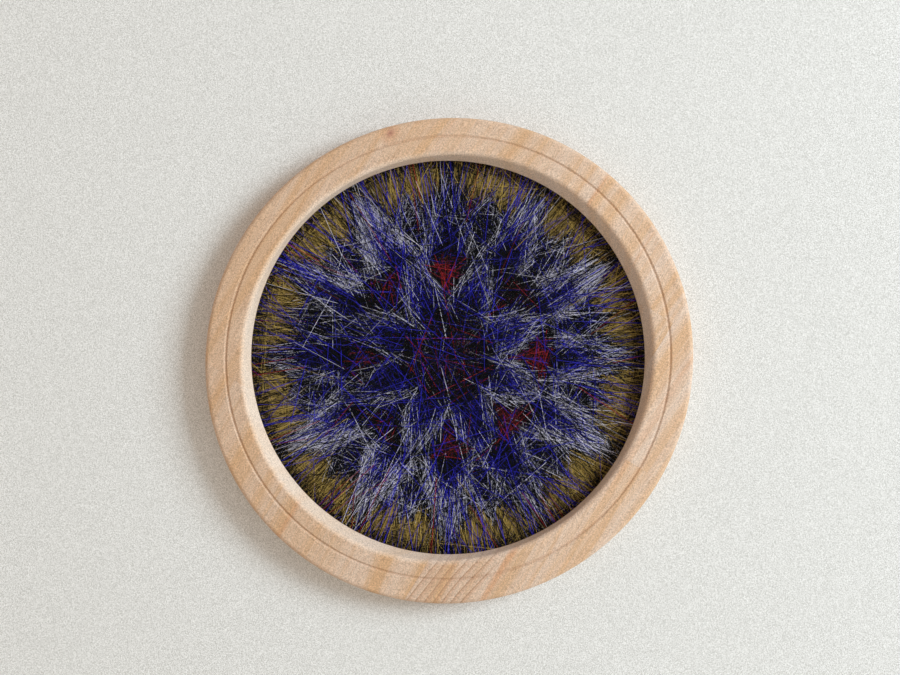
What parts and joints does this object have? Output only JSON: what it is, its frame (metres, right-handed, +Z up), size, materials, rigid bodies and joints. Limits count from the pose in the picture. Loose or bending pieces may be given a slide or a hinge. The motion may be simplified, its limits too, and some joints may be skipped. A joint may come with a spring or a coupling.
{
  "type": "string art in a round wooden frame",
  "caption": "String art: fine coloured threads wound straight across a round pale-wood frame with a rounded edge, a cut groove and a flush back board.",
  "frame": {"origin": "middle of the back face, which lies against the wall", "axes": "-Y out of the picture towards the viewer, +Y into the wall, +X to the viewer's right, +Z up"},
  "size_m": [0.3022, 0.02, 0.301],
  "materials": {
    "pale_wood": "sanded, bare, with straight grain",
    "wound_thread": "fine twisted thread in blue, white, black, red and ochre",
    "black_board": "thin plywood stained black, matt"
  },
  "bodies": {
    "root": {"frame_ring": "pale_wood", "string_web": "wound_thread", "backing_board": "black_board"}
  },
  "joints": []
}
